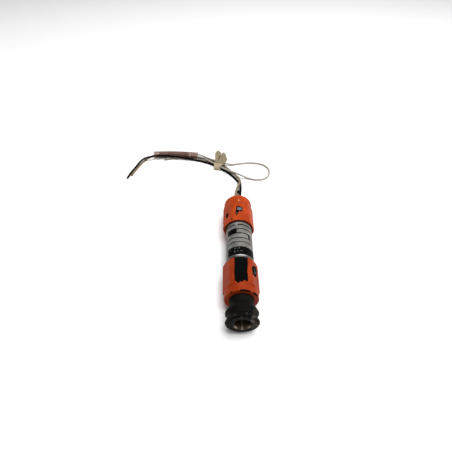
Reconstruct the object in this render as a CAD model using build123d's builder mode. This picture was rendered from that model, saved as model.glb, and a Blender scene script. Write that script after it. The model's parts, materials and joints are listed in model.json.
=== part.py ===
from build123d import *
import os
from math import acos, cos, degrees, pi, radians, tan

os.makedirs("parts", exist_ok=True)

# Row frame: millimetres, +Z up, nose towards -Y, leads towards +Y.
# The origin is under the middle of the probe, on the surface that it rests on.

# ---- driving dimensions ------------------------------------------------------
probe_length = 145.3
tube_od = 25.4
tube_wall = 1.2
hex_across_flats = 29.3
hex_across_corners = 31.4
collar_od = 29.2
rear_cap_turn = 8.9
boot_reach = 22.1
front_collar_length = 6.4
front_hex_length = 28.6
bare_tube_length = 47.7
rear_hex_length = 31.0
nose_travel = 6.0
lead_diameter = 2.4
grey_diameter = 2.0
string_diameter = 2.2
slip = 0.05
running = 0.06

# ---- stations along the axis, front to rear ------------------------------------
nose_y = -probe_length / 2
front_cap_y = nose_y + boot_reach
front_hex_y = front_cap_y + front_collar_length
front_cap_end_y = front_hex_y + front_hex_length
rear_cap_y = front_cap_end_y + bare_tube_length
rear_hex_end_y = rear_cap_y + rear_hex_length
rear_y = probe_length / 2

tube_radius = tube_od / 2
tube_inside = tube_radius - tube_wall
tube_front_y = front_cap_y + 10.0
tube_rear_y = rear_cap_y + 19.8
cap_bore = tube_radius + slip
corner_half_angle = 30 - degrees(acos(hex_across_flats / hex_across_corners))
lowest_angle = 30 - rear_cap_turn - corner_half_angle
axis_z = hex_across_corners / 2 * cos(radians(lowest_angle))

probe_axis = Axis((0, 0, axis_z), (0, 1, 0))
# Turned parts are drawn in this plane as (position along Y, radius).
turning_plane = Plane(origin=(0, 0, axis_z), x_dir=(0, 1, 0), z_dir=(1, 0, 0))


def section(y):
    """Cross-section plane at y, X to the right and Z up; +extrude goes to -Y."""
    return Plane(origin=(0, y, axis_z), x_dir=(1, 0, 0), z_dir=(0, -1, 0))


def turned(outline):
    """Solid of revolution about the probe's axis, from (y, radius) corners."""
    with BuildPart() as body:
        with BuildSketch(turning_plane):
            with BuildLine():
                Polyline(*outline, close=True)
            make_face()
        revolve(axis=probe_axis)
    return body


def ring(y_front, y_back, inner, outer):
    """Plain ring or bush, square in section."""
    return turned([(y_front, inner), (y_front, outer), (y_back, outer), (y_back, inner)])


def corner_radii(points):
    """Largest even bend at each inner point: 0.45 of the shorter run, tangent to both."""
    radii = []
    for before, here, after in zip(points, points[1:], points[2:]):
        first = Vector(*here) - Vector(*before)
        second = Vector(*after) - Vector(*here)
        half_turn = radians(first.get_angle(second)) / 2
        radii.append(0.45 * min(first.length, second.length) / tan(half_turn))
    return radii


def cord_tube(points, diameter, name):
    """Tube along straight runs and tangent arcs; prints its radii and checks its volume."""
    radii = corner_radii(points)
    with BuildPart() as tube:
        with BuildLine() as route:
            FilletPolyline(*points, radius=radii)
        path = route.wires()[0]
        with BuildSketch(Plane(origin=path @ 0, z_dir=path % 0)):
            Circle(diameter / 2)
        sweep(path=path)
    expected = pi * diameter**2 / 4 * path.length
    bends = ", ".join(f"{r:.1f}" for r in radii)
    print(f"{name}: length {path.length:.1f} mm, smallest bend {min(radii):.1f} mm")
    print(f"  bends {bends}")
    print(f"  volume {tube.part.volume:.1f} of {expected:.1f} mm3")
    return tube


# ---- caps ----------------------------------------------------------------------
groove_depth = 1.15
groove_width = 2.0
hex_end_bevel = 1.2
hex_end_radius = hex_across_flats / 2 + 0.1
corner_radius = hex_across_corners / 2
collar_radius = collar_od / 2
end_wall = 3.5
neck_radius = 10.2
boot_pocket_radius = 12.0
boot_pocket_end_y = front_cap_y + 8.0
o_ring_front_y = front_cap_end_y - 14.0
o_ring_rear_y = rear_cap_y + 12.0
mouth_bevel = 1.0


def hex_body(y_front, y_back, turn):
    """Hexagon bar with its corners turned down and both of its ends bevelled."""
    bevelled = [
        (y_front, 0),
        (y_front, hex_end_radius),
        (y_front + hex_end_bevel, corner_radius + 0.1),
        (y_back - hex_end_bevel, corner_radius + 0.1),
        (y_back, hex_end_radius),
        (y_back, 0),
    ]
    with BuildPart() as body:
        with BuildSketch(section(y_back)):
            RegularPolygon(hex_across_flats / 2, 6, major_radius=False, rotation=-turn)
            Circle(corner_radius, mode=Mode.INTERSECT)
        extrude(amount=y_back - y_front)
        with BuildSketch(turning_plane):
            with BuildLine():
                Polyline(*bevelled, close=True)
            make_face()
        revolve(axis=probe_axis, mode=Mode.INTERSECT)
    return body


def o_ring_groove(y_middle):
    """Outline of the seal groove in a cap's bore."""
    front = y_middle - groove_width / 2
    back = y_middle + groove_width / 2
    bottom = cap_bore + groove_depth
    return [(front, cap_bore - 1), (front, bottom), (back, bottom), (back, cap_bore - 1)]


front_bar = hex_body(front_hex_y, front_cap_end_y, 0).part
with BuildPart() as front_cap:
    add(front_bar)
    with BuildSketch(section(front_hex_y)):
        Circle(collar_radius)
    extrude(amount=front_collar_length)
    chamfer(front_cap.edges().group_by(Axis.Y)[0], length=0.6)
    with BuildSketch(turning_plane):
        with BuildLine():
            Polyline(
                (front_cap_y - 1, 0),
                (front_cap_y - 1, neck_radius + slip),
                (front_cap_y + end_wall, neck_radius + slip),
                (front_cap_y + end_wall, boot_pocket_radius),
                (boot_pocket_end_y, boot_pocket_radius),
                (boot_pocket_end_y, cap_bore),
                (front_cap_end_y - mouth_bevel, cap_bore),
                (front_cap_end_y, cap_bore + mouth_bevel),
                (front_cap_end_y + 1, cap_bore + mouth_bevel),
                (front_cap_end_y + 1, 0),
                close=True,
            )
        make_face()
    revolve(axis=probe_axis, mode=Mode.SUBTRACT)
    with BuildSketch(turning_plane):
        with BuildLine():
            Polyline(*o_ring_groove(o_ring_front_y), close=True)
        make_face()
    revolve(axis=probe_axis, mode=Mode.SUBTRACT)

rear_recess_depth = 2.5
rear_recess_radius = 9.0
gland_radius = 4.4
cavity_end_y = rear_y - rear_recess_depth - end_wall
rear_shoulder = 2.5

rear_bar = hex_body(rear_cap_y, rear_hex_end_y, rear_cap_turn).part
with BuildPart() as rear_cap:
    add(rear_bar)
    with BuildSketch(section(rear_y)):
        Circle(collar_radius)
    extrude(amount=rear_y - rear_hex_end_y)
    fillet(rear_cap.edges().group_by(Axis.Y)[-1], radius=rear_shoulder)
    with BuildSketch(turning_plane):
        with BuildLine():
            Polyline(
                (rear_cap_y - 1, 0),
                (rear_cap_y - 1, cap_bore + mouth_bevel),
                (rear_cap_y, cap_bore + mouth_bevel),
                (rear_cap_y + mouth_bevel, cap_bore),
                (tube_rear_y + slip, cap_bore),
                (tube_rear_y + slip, tube_inside),
                (cavity_end_y, tube_inside),
                (cavity_end_y, gland_radius),
                (cavity_end_y + end_wall, gland_radius),
                (cavity_end_y + end_wall, rear_recess_radius),
                (rear_y + 1, rear_recess_radius),
                (rear_y + 1, 0),
                close=True,
            )
        make_face()
    revolve(axis=probe_axis, mode=Mode.SUBTRACT)
    with BuildSketch(turning_plane):
        with BuildLine():
            Polyline(*o_ring_groove(o_ring_rear_y), close=True)
        make_face()
    revolve(axis=probe_axis, mode=Mode.SUBTRACT)


def o_ring(y_middle):
    """Round rubber ring filling its groove down to the tube."""
    wire_radius = (groove_depth + slip) / 2 - 0.02
    with BuildPart() as body:
        with BuildSketch(turning_plane):
            with Locations((y_middle, tube_radius + wire_radius + 0.02)):
                Circle(wire_radius)
        revolve(axis=probe_axis)
    return body


front_o_ring = o_ring(o_ring_front_y)
rear_o_ring = o_ring(o_ring_rear_y)

# ---- barrel tube and nameplate ---------------------------------------------------
seat_y = -8.0
seat_thickness = 2.5
snap_ring_y = seat_y + seat_thickness
snap_ring_thickness = 1.0
snap_groove_radius = tube_inside + 0.55

barrel_tube = turned(
    [
        (tube_front_y, tube_inside),
        (tube_front_y, tube_radius),
        (tube_rear_y, tube_radius),
        (tube_rear_y, tube_inside),
        (snap_ring_y + snap_ring_thickness + slip, tube_inside),
        (snap_ring_y + snap_ring_thickness + slip, snap_groove_radius),
        (snap_ring_y - slip, snap_groove_radius),
        (snap_ring_y - slip, tube_inside),
    ]
)

plate_front_y = front_cap_end_y + 3.2
plate_back_y = rear_cap_y - 1.0
plate_thickness = 0.15
plate_start_angle = 59.0
plate_wrap = 250.0
plate_from = 90 + plate_start_angle - plate_wrap

with BuildPart() as nameplate:
    with BuildSketch(section(plate_back_y)):
        with BuildLine():
            inner = CenterArc((0, 0), tube_radius, plate_from, plate_wrap)
            outer = CenterArc((0, 0), tube_radius + plate_thickness, plate_from, plate_wrap)
            Line(inner @ 0, outer @ 0)
            Line(inner @ 1, outer @ 1)
        make_face()
    extrude(amount=plate_back_y - plate_front_y)

# ---- rubber boot over the nose -----------------------------------------------------
lip_radius = 10.9
ferrule_radius = 8.16
boot_bore = ferrule_radius + 0.09
neck_inside = 8.8
flange_radius = boot_pocket_radius - 0.2
flange_y = front_cap_y + end_wall
flange_thickness = 2.0
neck_end_y = nose_y + 16.55
lobe_1_y = nose_y + 9.8
lobe_groove_y = nose_y + 5.8
lobe_2_y = nose_y + 1.3
lobe_radius = 13.67
lobe_groove_radius = 11.63

bellows_boot = turned(
    [
        (flange_y + flange_thickness, neck_inside),
        (flange_y + flange_thickness, flange_radius),
        (flange_y, flange_radius),
        (flange_y, neck_radius),
        (neck_end_y, neck_radius),
        (lobe_1_y, lobe_radius),
        (lobe_groove_y, lobe_groove_radius),
        (lobe_2_y, lobe_radius),
        (nose_y + 0.95, lip_radius),
        (nose_y + 0.35, lip_radius),
        (nose_y, lip_radius - 0.5),
        (nose_y, boot_bore + 0.4),
        (nose_y + 0.4, boot_bore),
        (nose_y + 2.8, boot_bore),
        (nose_y + 1.8, lobe_radius - 1.8),
        (lobe_groove_y, lobe_groove_radius - 1.6),
        (lobe_1_y + 0.1, lobe_radius - 1.7),
        (neck_end_y + 0.2, neck_inside),
    ]
)

clamp_ring_y = flange_y + flange_thickness
bush_flange_y = boot_pocket_end_y
bush_flange = tube_front_y - bush_flange_y
boot_clamp_ring = ring(clamp_ring_y, bush_flange_y, neck_inside + 0.2, boot_pocket_radius - 0.1)

# ---- sliding nose --------------------------------------------------------------
plunger_radius = 6.5
plunger_inside = 5.3
bush_rear_y = tube_front_y + 10.2
clip_y = bush_rear_y + 0.1
clip_thickness = 1.0
plunger_rear_y = clip_y + 8.5
ferrule_front_y = nose_y + 0.17
ferrule_bore = 6.3
ferrule_floor_y = ferrule_front_y + 13.0
ferrule_floor = 1.5
plunger_front_y = ferrule_floor_y + ferrule_floor
skirt_length = 4.0
core_radius = 2.5
core_hole = core_radius + slip
clip_groove_radius = plunger_radius - 0.5

guide_bush = turned(
    [
        (bush_flange_y, plunger_radius + running),
        (bush_flange_y, tube_radius - 0.1),
        (bush_flange_y + bush_flange, tube_radius - 0.1),
        (bush_flange_y + bush_flange, tube_inside - slip),
        (bush_rear_y, tube_inside - slip),
        (bush_rear_y, plunger_radius + running),
    ]
)

nose_ferrule = turned(
    [
        (ferrule_front_y, ferrule_bore + 1.3),
        (ferrule_front_y, ferrule_radius),
        (ferrule_front_y + 2.8, ferrule_radius),
        (ferrule_front_y + 2.8, ferrule_radius + 1.1),
        (ferrule_front_y + 4.0, ferrule_radius + 1.1),
        (ferrule_front_y + 4.0, ferrule_radius),
        (plunger_front_y + skirt_length, ferrule_radius),
        (plunger_front_y + skirt_length, plunger_radius),
        (plunger_front_y, plunger_radius),
        (plunger_front_y, core_hole),
        (ferrule_floor_y, core_hole),
        (ferrule_floor_y, ferrule_bore),
        (ferrule_front_y + 1.3, ferrule_bore),
    ]
)

plunger_tube = turned(
    [
        (plunger_front_y, plunger_inside),
        (plunger_front_y, plunger_radius),
        (clip_y, plunger_radius),
        (clip_y, clip_groove_radius),
        (clip_y + clip_thickness, clip_groove_radius),
        (clip_y + clip_thickness, plunger_radius),
        (plunger_rear_y, plunger_radius),
        (plunger_rear_y, plunger_inside),
    ]
)

plunger_circlip = ring(clip_y, clip_y + clip_thickness, clip_groove_radius, 8.0)
washer_y = clip_y + clip_thickness
washer_thickness = 0.9
spring_washer = ring(washer_y, washer_y + washer_thickness, plunger_radius + slip, 9.6)

bobbin_rear_y = plunger_front_y + 20.0
bobbin_flange = 1.0
bobbin_hub = 3.3
bobbin_edge = plunger_inside - 0.1
coil_bobbin = turned(
    [
        (plunger_front_y, core_hole),
        (plunger_front_y, bobbin_edge),
        (plunger_front_y + bobbin_flange, bobbin_edge),
        (plunger_front_y + bobbin_flange, bobbin_hub),
        (bobbin_rear_y - bobbin_flange, bobbin_hub),
        (bobbin_rear_y - bobbin_flange, bobbin_edge),
        (bobbin_rear_y, bobbin_edge),
        (bobbin_rear_y, core_hole),
    ]
)
coil_winding = ring(
    plunger_front_y + bobbin_flange, bobbin_rear_y - bobbin_flange, bobbin_hub, bobbin_edge - 0.4
)
with BuildPart() as ferrite_core:
    with BuildSketch(section(bobbin_rear_y + 1.5)):
        Circle(core_radius)
    extrude(amount=bobbin_rear_y + 1.5 - ferrule_floor_y)

plug_length = 4.0
pigtail_radius = 0.45
plunger_plug = ring(
    plunger_rear_y - plug_length, plunger_rear_y, pigtail_radius + slip, plunger_inside - slip
)

# ---- spring between the plunger's washer and its seat in the barrel -------------------
spring_mean_radius = 8.2
spring_wire = 1.1
spring_front_y = washer_y + washer_thickness + spring_wire / 2 + 0.02
spring_back_y = seat_y - spring_wire / 2 - 0.02
spring_turns = 7
spring_length = spring_back_y - spring_front_y
print(f"spring: {spring_length:.1f} mm at rest, {spring_length - nose_travel:.1f} mm pushed in")
print(f"  coils touch at {(spring_turns + 1) * spring_wire:.1f} mm")

with BuildPart() as return_spring:
    with BuildLine() as coil:
        Helix(
            spring_length / spring_turns,
            spring_length,
            spring_mean_radius,
            center=(0, spring_front_y, axis_z),
            direction=(0, 1, 0),
        )
    with BuildSketch(Plane(origin=coil.line @ 0, z_dir=coil.line % 0)):
        Circle(spring_wire / 2)
    sweep(path=coil.line, is_frenet=True)

seat_hole = 3.5
spring_seat = ring(seat_y, snap_ring_y, seat_hole, tube_inside - slip)
seat_snap_ring = ring(
    snap_ring_y, snap_ring_y + snap_ring_thickness, tube_inside - 1.2, snap_groove_radius - slip
)

# ---- electronics on a carrier inside the barrel -------------------------------------
carrier_front_y = snap_ring_y + snap_ring_thickness + 0.5
carrier_disc = 2.0
carrier_rear_y = tube_rear_y - 5.0
carrier_radius = tube_inside - 0.2
tray_half_width = 9.0
tray_top = -3.6
tray_thickness = 1.6
board_thickness = 1.2
board_half_width = 8.6
board_front_y = carrier_front_y + carrier_disc + 0.1
board_rear_y = carrier_rear_y - carrier_disc - 0.1
board_length = board_rear_y - board_front_y
board_top = tray_top + board_thickness

with BuildPart() as board_carrier:
    with BuildSketch(section(carrier_rear_y)):
        with Locations((0, tray_top)):
            Rectangle(2 * tray_half_width, tray_thickness, align=(Align.CENTER, Align.MAX))
    extrude(amount=carrier_rear_y - carrier_front_y)
    with BuildSketch(section(carrier_front_y + carrier_disc)):
        Circle(carrier_radius)
        Circle(seat_hole, mode=Mode.SUBTRACT)
    extrude(amount=carrier_disc)
    with BuildSketch(section(carrier_rear_y)):
        Circle(carrier_radius)
        SlotOverall(17.0, 6.0, mode=Mode.SUBTRACT)
    extrude(amount=carrier_disc)

board_middle_y = (board_front_y + board_rear_y) / 2
board_plane = Plane(origin=(0, board_middle_y, axis_z + tray_top))
top_plane = Plane(origin=(0, board_front_y, axis_z + board_top))
with BuildPart() as circuit_board:
    with BuildSketch(board_plane):
        Rectangle(2 * board_half_width, board_length)
        with GridLocations(2 * board_half_width - 4.0, board_length - 5.0, 2, 2):
            Circle(0.8, mode=Mode.SUBTRACT)
    extrude(amount=board_thickness)

chip_y = 23.0
with BuildPart() as oscillator_chip:
    with BuildSketch(top_plane.offset(0.4)):
        with Locations((0, chip_y)):
            Rectangle(6.4, 9.8)
    extrude(amount=3.3)
    with BuildSketch(top_plane):
        with Locations((0, chip_y)):
            with GridLocations(6.9, 2.54, 2, 4):
                Rectangle(0.8, 0.6)
    extrude(amount=2.2)

capacitor_y = 37.5
with BuildPart() as filter_capacitors:
    with BuildSketch(top_plane):
        with Locations((-5.2, capacitor_y), (0.6, capacitor_y)):
            Circle(2.5)
    extrude(amount=6.0)

resistor_pitch = 3.6
resistor_count = 4
resistor_rise = 1.3
resistor_reach = 4.6
resistor_wire = 0.5
with BuildPart() as axial_resistors:
    for i in range(resistor_count):
        row_y = board_front_y + 5.0 + i * resistor_pitch
        with Locations((0, row_y, axis_z + board_top + resistor_rise)):
            Cylinder(1.1, 6.0, rotation=(0, 90, 0))
            Box(2 * resistor_reach, resistor_wire, resistor_wire)
        with BuildSketch(top_plane):
            with Locations((0, row_y - board_front_y)):
                with GridLocations(2 * resistor_reach - resistor_wire, 1.0, 2, 1):
                    Rectangle(resistor_wire, resistor_wire)
        extrude(amount=resistor_rise)

with BuildPart() as sensitivity_trimmer:
    with BuildSketch(top_plane):
        with Locations((5.4, 30.5)):
            Rectangle(5.0, 5.0)
    extrude(amount=3.4)
    with BuildSketch(top_plane.offset(3.4)):
        with Locations((5.4, 30.5)):
            Circle(1.8)
            Rectangle(3.0, 0.6, mode=Mode.SUBTRACT)
    extrude(amount=0.7)

terminal_height = 2.0
lead_terminal = 43.0
with BuildPart() as solder_terminals:
    with BuildSketch(top_plane):
        with Locations((-3.0, 1.8), (3.0, 1.8)):
            Circle(0.7)
        with GridLocations(6.4, 1.0, 3, 1):
            with Locations((0, lead_terminal)):
                Circle(0.7)
    extrude(amount=terminal_height)

# ---- leads inside the probe, their clamp and their gland -------------------------------
lead_radius = lead_diameter / 2
lead_spacing = 2.6
grommet_nose = 1.3
gland_face_y = rear_y - rear_recess_depth + grommet_nose
clamp_front_y = tube_rear_y + 3.0
clamp_thickness = 3.0
lead_bores = [(-lead_spacing, lead_radius), (0, grey_diameter / 2), (lead_spacing, lead_radius)]
screw_places = [(-7.5, 0), (7.5, 0)]
screw_radius = 1.25
screw_head_radius = 2.2
screw_head = 1.6

terminal_y = board_front_y + lead_terminal
terminal_spread = 2.3
inner_lead_z = axis_z + board_top + terminal_height + lead_radius
with BuildPart() as inner_leads:
    for x, radius in lead_bores:
        with BuildLine() as inner_route:
            FilletPolyline(
                (x * terminal_spread, terminal_y - 1.0, inner_lead_z),
                (x * terminal_spread, terminal_y + 4.5, inner_lead_z),
                (x, clamp_front_y - 2.5, axis_z),
                (x, gland_face_y, axis_z),
                radius=3.0,
            )
        inner_path = inner_route.wires()[0]
        with BuildSketch(Plane(origin=inner_path @ 0, z_dir=inner_path % 0)):
            Circle(radius)
        sweep(path=inner_path)

with BuildPart() as lead_clamp:
    with BuildSketch(section(clamp_front_y + clamp_thickness)):
        Circle(tube_inside - 0.15)
        for x, radius in lead_bores:
            with Locations((x, 0)):
                Circle(radius + slip, mode=Mode.SUBTRACT)
        with Locations(*screw_places):
            Circle(screw_radius + slip, mode=Mode.SUBTRACT)
    extrude(amount=clamp_thickness)

with BuildPart() as clamp_screws:
    with BuildSketch(section(clamp_front_y + clamp_thickness)):
        with Locations(*screw_places):
            Circle(screw_radius)
    extrude(amount=clamp_thickness)
    with BuildSketch(section(clamp_front_y + clamp_thickness + screw_head)):
        with Locations(*screw_places):
            Circle(screw_head_radius)
    extrude(amount=screw_head)

grommet_blank = turned(
    [
        (cavity_end_y - 1.4, 0),
        (cavity_end_y - 1.4, gland_radius + 1.6),
        (cavity_end_y, gland_radius + 1.6),
        (cavity_end_y, gland_radius - slip),
        (cavity_end_y + end_wall, gland_radius - slip),
        (cavity_end_y + end_wall, gland_radius + 1.6),
        (gland_face_y, gland_radius + 1.2),
        (gland_face_y, 0),
    ]
).part
with BuildPart() as rear_grommet:
    add(grommet_blank)
    with BuildSketch(section(gland_face_y)):
        for x, radius in lead_bores:
            with Locations((x, 0)):
                Circle(radius + slip)
    extrude(amount=12.0, mode=Mode.SUBTRACT)

pigtail_points = [
    (0, plunger_rear_y, axis_z),
    (0, plunger_rear_y + 3.5, axis_z),
    (1.8, seat_y - 4.0, axis_z + 1.6),
    (2.0, seat_y + 3.0, axis_z + 0.4),
    (2.6, board_front_y + 1.6, axis_z + board_top + terminal_height + pigtail_radius),
]
coil_pigtail = cord_tube(pigtail_points, 2 * pigtail_radius, "coil_pigtail")

# ---- leads outside the probe ---------------------------------------------------------
black_route = [
    (lead_spacing, gland_face_y, axis_z),
    (lead_spacing, 82.5, axis_z),
    (3.7, 96.0, 13.1),
    (4.9, 109.5, 8.6),
    (5.3, 120.5, 5.2),
    (4.0, 130.5, 2.9),
    (0.6, 139.6, 1.25),
    (-4.1, 147.6, 1.2),
    (-9.5, 155.2, 1.2),
    (-16.4, 162.0, 1.4),
    (-23.2, 168.2, 1.7),
    (-30.0, 174.0, 1.4),
    (-38.0, 179.4, 1.2),
    (-48.7, 184.2, 1.2),
    (-59.5, 187.3, 2.0),
    (-69.5, 188.7, 3.1),
    (-79.8, 189.8, 4.2),
    (-90.3, 190.6, 5.1),
    (-101.0, 190.9, 5.6),
    (-110.6, 189.9, 5.9),
    (-118.6, 187.7, 5.5),
    (-125.0, 184.9, 5.0),
    (-130.0, 179.6, 3.3),
    (-133.4, 171.2, 1.2),
    (-136.4, 161.0, 1.2),
    (-138.8, 151.5, 1.2),
    (-139.8, 143.6, 1.2),
]
tan_route = [
    (-lead_spacing, gland_face_y, axis_z),
    (-lead_spacing, 81.5, axis_z),
    (-1.9, 93.0, 14.3),
    (-0.3, 105.0, 12.2),
    (2.2, 116.5, 9.2),
    (3.9, 126.4, 6.9),
    (3.9, 134.6, 4.7),
    (2.0, 141.8, 3.6),
    (-1.6, 148.6, 3.4),
    (-6.0, 155.6, 3.5),
    (-11.0, 163.0, 3.5),
    (-16.8, 170.2, 2.2),
    (-22.4, 177.0, 1.6),
    (-29.2, 183.4, 1.2),
    (-36.6, 188.0, 1.2),
    (-43.6, 191.0, 1.5),
    (-51.0, 193.0, 2.1),
    (-61.0, 194.6, 2.15),
    (-72.0, 196.2, 2.15),
    (-86.0, 197.5, 2.15),
    (-99.0, 198.0, 2.15),
    (-110.0, 197.6, 2.2),
    (-117.0, 196.0, 1.7),
    (-121.6, 192.2, 1.2),
    (-126.4, 183.4, 1.2),
    (-130.2, 171.6, 1.2),
    (-133.4, 159.9, 1.2),
    (-135.9, 149.4, 1.2),
]
grey_route = [
    (0, gland_face_y, axis_z),
    (0, 82.0, axis_z),
    (0.3, 92.5, 13.2),
    (1.1, 102.0, 9.6),
    (2.7, 111.0, 5.6),
    (4.6, 119.5, 2.2),
    (6.0, 128.2, 1.0),
    (5.9, 136.4, 1.0),
    (4.2, 143.6, 1.0),
    (0.6, 150.2, 1.0),
    (-4.4, 156.2, 1.0),
    (-10.6, 161.6, 1.1),
    (-17.6, 167.2, 1.5),
    (-24.4, 173.4, 1.5),
    (-31.6, 179.2, 1.1),
    (-40.2, 184.5, 1.0),
    (-52.0, 188.2, 1.0),
    (-64.0, 189.9, 1.0),
    (-74.0, 191.5, 1.0),
    (-82.6, 192.0, 1.0),
    (-90.6, 189.8, 1.0),
    (-97.7, 187.5, 1.0),
]
string_route = [
    (-62.0, 192.7, 4.7),
    (-55.5, 192.1, 4.3),
    (-49.0, 190.6, 3.7),
    (-42.5, 187.6, 3.1),
    (-36.0, 181.6, 3.2),
    (-28.8, 174.6, 3.6),
    (-22.0, 167.4, 4.1),
    (-16.4, 161.8, 4.6),
    (-10.8, 156.2, 5.4),
    (-5.0, 151.0, 6.1),
    (1.2, 146.9, 6.0),
    (8.2, 144.7, 4.0),
    (15.5, 143.0, 1.3),
    (22.5, 140.6, 1.1),
    (30.0, 139.6, 1.1),
    (37.2, 142.2, 1.1),
    (42.4, 148.6, 1.1),
    (44.9, 157.6, 1.1),
    (43.8, 166.8, 1.1),
    (38.6, 174.2, 1.1),
    (30.0, 178.6, 1.1),
    (19.0, 179.8, 1.1),
    (8.0, 178.0, 1.1),
    (-2.5, 175.0, 1.3),
    (-10.0, 173.8, 2.6),
    (-16.0, 174.4, 4.4),
    (-22.0, 177.6, 4.6),
    (-28.5, 181.8, 3.6),
    (-35.6, 186.4, 3.5),
    (-42.6, 190.6, 4.1),
    (-49.2, 193.2, 5.6),
    (-56.0, 194.4, 6.2),
    (-62.0, 195.0, 6.2),
]
black_lead = cord_tube(black_route, lead_diameter, "black_lead")
tan_lead = cord_tube(tan_route, lead_diameter, "tan_lead")
grey_lead = cord_tube(grey_route, grey_diameter, "grey_lead")
tag_string = cord_tube(string_route, string_diameter, "tag_string")

# ---- marker sleeve round the tan lead and the string's ends ------------------------------
sleeve_radius = 4.4
sleeve_bore = 4.0
sleeve_right = (-52.0, 192.9, sleeve_radius)
sleeve_middle = (-84.0, 196.7, sleeve_radius)
sleeve_left = (-113.6, 195.6, sleeve_radius)
with BuildPart() as marker_sleeve:
    with BuildLine() as sleeve_line:
        ThreePointArc(sleeve_right, sleeve_middle, sleeve_left)
    sleeve_path = sleeve_line.wires()[0]
    with BuildSketch(Plane(origin=sleeve_path @ 0, z_dir=sleeve_path % 0)):
        Circle(sleeve_radius)
        Circle(sleeve_bore, mode=Mode.SUBTRACT)
    sweep(path=sleeve_path)

# ---- black splice sleeve on the grey lead, just behind the probe --------------------------
splice_front = Vector(0.72, 97.4, 11.35)
splice_back = Vector(1.85, 106.8, 7.6)
splice_run = splice_back - splice_front
splice_radius = 1.75
splice_bore = 1.3
with BuildPart() as splice_sleeve:
    with BuildSketch(Plane(origin=splice_front, z_dir=splice_run)):
        Circle(splice_radius)
        Circle(splice_bore, mode=Mode.SUBTRACT)
    extrude(amount=splice_run.length)

# ---- tape wrapped round the leads and the string, its two tails pressed up into a flag ------
tape_width = 13.0
tape_thickness = 0.4
wrap_width = 14.4
wrap_height = 6.8
bundle_run = Vector(-0.72, 0.69, 0)
tape_middle = Vector(-20.0, 171.6, wrap_height / 2)
wrap_start = tape_middle - bundle_run * (tape_width / 2)
flag_width = 17.5
flag_height = 18.0
flag_notch = 4.0
flag_lean = 19.0
flag_turn = 14.0

with BuildPart() as tape_tie:
    with BuildSketch(Plane(origin=wrap_start, x_dir=(0.69, 0.72, 0), z_dir=bundle_run)):
        RectangleRounded(wrap_width, wrap_height, 2.4)
        RectangleRounded(
            wrap_width - 2 * tape_thickness,
            wrap_height - 2 * tape_thickness,
            2.0,
            mode=Mode.SUBTRACT,
        )
    extrude(amount=tape_width)
    flag_base = Plane(
        Location((-20.8, 169.6, wrap_height - 0.3), (90 - flag_lean, 0, -flag_turn))
    )
    with BuildSketch(flag_base):
        with BuildLine():
            Polyline(
                (-5.0, 0),
                (-flag_width / 2, 5.0),
                (-flag_width / 2 + 0.4, 11.0),
                (-5.2, flag_height),
                (0, flag_height - flag_notch),
                (4.2, flag_height - 1.4),
                (7.6, 12.0),
                (flag_width / 2, 5.0),
                (5.0, 0),
                close=True,
            )
        make_face()
    extrude(amount=tape_thickness, both=True)

# ---- write the pieces --------------------------------------------------------------
pieces = {
    "front_cap": front_cap,
    "rear_cap": rear_cap,
    "front_o_ring": front_o_ring,
    "rear_o_ring": rear_o_ring,
    "barrel_tube": barrel_tube,
    "nameplate": nameplate,
    "bellows_boot": bellows_boot,
    "boot_clamp_ring": boot_clamp_ring,
    "guide_bush": guide_bush,
    "nose_ferrule": nose_ferrule,
    "plunger_tube": plunger_tube,
    "plunger_circlip": plunger_circlip,
    "spring_washer": spring_washer,
    "coil_bobbin": coil_bobbin,
    "coil_winding": coil_winding,
    "ferrite_core": ferrite_core,
    "plunger_plug": plunger_plug,
    "return_spring": return_spring,
    "spring_seat": spring_seat,
    "seat_snap_ring": seat_snap_ring,
    "board_carrier": board_carrier,
    "circuit_board": circuit_board,
    "oscillator_chip": oscillator_chip,
    "filter_capacitors": filter_capacitors,
    "axial_resistors": axial_resistors,
    "sensitivity_trimmer": sensitivity_trimmer,
    "solder_terminals": solder_terminals,
    "inner_leads": inner_leads,
    "lead_clamp": lead_clamp,
    "clamp_screws": clamp_screws,
    "rear_grommet": rear_grommet,
    "coil_pigtail": coil_pigtail,
    "black_lead": black_lead,
    "tan_lead": tan_lead,
    "grey_lead": grey_lead,
    "tag_string": tag_string,
    "marker_sleeve": marker_sleeve,
    "splice_sleeve": splice_sleeve,
    "tape_tie": tape_tie,
}
for name, piece in pieces.items():
    piece.part.label = name
    export_step(piece.part, f"parts/{name}.step")
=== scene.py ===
import json
import math
import random

import bpy
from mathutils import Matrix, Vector, noise


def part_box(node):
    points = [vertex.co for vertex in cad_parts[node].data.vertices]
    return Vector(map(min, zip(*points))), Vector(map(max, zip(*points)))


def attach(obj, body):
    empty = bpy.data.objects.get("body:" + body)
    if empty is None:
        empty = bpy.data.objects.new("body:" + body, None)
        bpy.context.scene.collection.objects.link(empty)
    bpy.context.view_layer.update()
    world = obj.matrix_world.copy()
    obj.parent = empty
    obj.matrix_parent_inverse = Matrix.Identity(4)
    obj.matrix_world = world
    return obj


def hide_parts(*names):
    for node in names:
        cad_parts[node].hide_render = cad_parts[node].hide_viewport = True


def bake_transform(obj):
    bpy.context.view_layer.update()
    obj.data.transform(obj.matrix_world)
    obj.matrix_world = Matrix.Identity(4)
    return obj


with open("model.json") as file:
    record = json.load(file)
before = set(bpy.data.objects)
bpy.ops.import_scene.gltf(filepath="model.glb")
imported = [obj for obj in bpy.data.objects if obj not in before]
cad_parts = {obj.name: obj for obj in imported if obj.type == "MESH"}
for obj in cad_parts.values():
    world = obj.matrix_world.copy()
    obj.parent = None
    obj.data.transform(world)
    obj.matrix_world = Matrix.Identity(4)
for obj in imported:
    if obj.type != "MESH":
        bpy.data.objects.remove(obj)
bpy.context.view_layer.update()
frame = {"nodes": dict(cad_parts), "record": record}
nodes = frame["nodes"]
random.seed(7)

MM = 0.001
HOUSING = "housing"
NOSE = "nose"


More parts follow.
